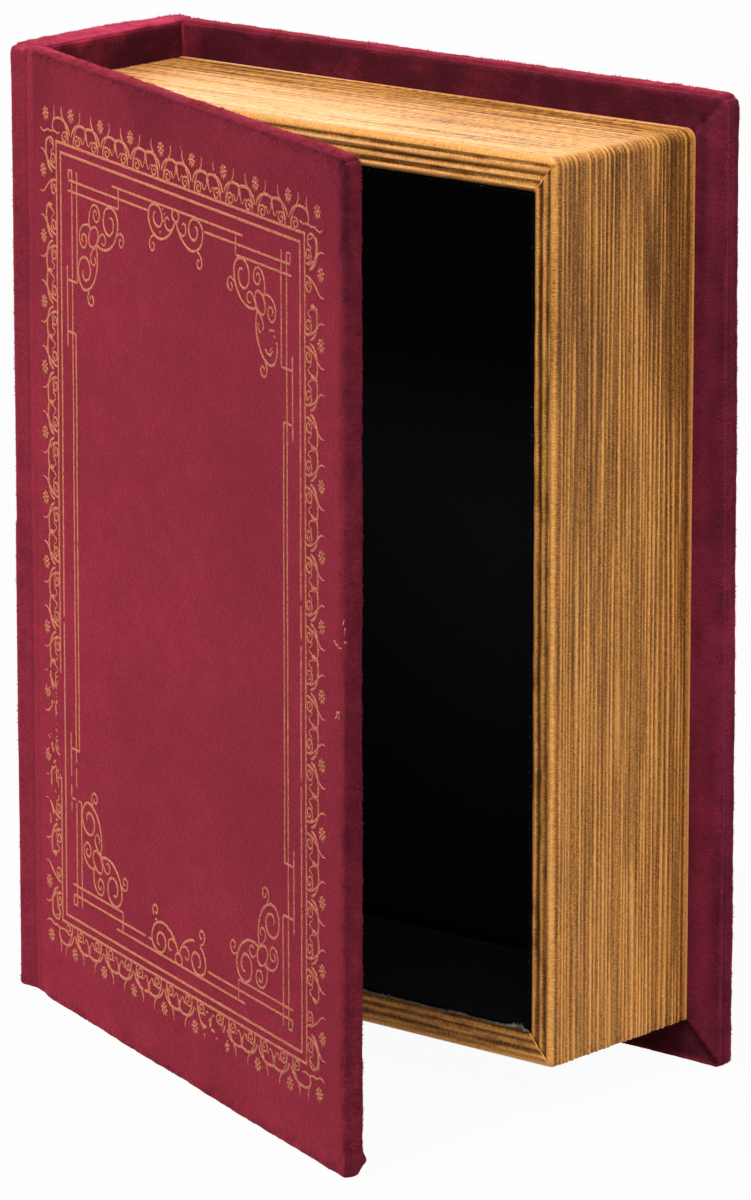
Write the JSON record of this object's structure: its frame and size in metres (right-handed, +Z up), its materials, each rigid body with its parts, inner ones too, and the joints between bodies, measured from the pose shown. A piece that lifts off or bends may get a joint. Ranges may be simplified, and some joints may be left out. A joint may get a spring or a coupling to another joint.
{
  "type": "book-shaped trinket box",
  "caption": "Upright keepsake box made like a velvet-bound book, with a felt-lined tray behind a hinged front cover.",
  "frame": {"origin": "middle of the footprint of the box as it stands with its front cover ajar, on the surface that it stands on", "axes": "+Z up along the spine, from tail to head; the spine is towards -X, the covers' fore edge towards +X, the tray opens towards -Y and the back cover's outer face looks along +Y"},
  "size_m": [0.2012, 0.1412, 0.265],
  "materials": {
    "burgundy_velvet": "short-pile velvet with a pink sheen",
    "gilt_page_paper": "embossed gilt paper with a satin gloss",
    "black_felt": "matt black felt",
    "grey_board": "raw binder's board"
  },
  "bodies": {
    "case": {"hinge_velvet": "burgundy_velvet", "spine_velvet": "burgundy_velvet", "spine_board": "grey_board", "back_velvet": "burgundy_velvet", "back_board": "grey_board", "tray_floor": "grey_board", "tray_head_wall": "grey_board", "tray_tail_wall": "grey_board", "tray_fore_edge_wall": "grey_board", "tray_spine_wall": "grey_board", "page_paper": "gilt_page_paper", "floor_lining": "black_felt", "head_lining": "black_felt", "tail_lining": "black_felt", "spine_lining": "black_felt", "fore_edge_lining": "black_felt"},
    "front_cover": {"front_velvet": "burgundy_velvet", "front_board": "grey_board", "front_lining": "black_felt"}
  },
  "joints": [
    {"name": "front_cover_hinge", "type": "hinge", "parent": "case", "child": "front_cover", "pos_m": [-0.0903, 0.00189, 0.1325], "axis": [0, 0, -1], "range_deg": [-22.5, 157.5], "deforming": ["hinge_velvet"]}
  ]
}
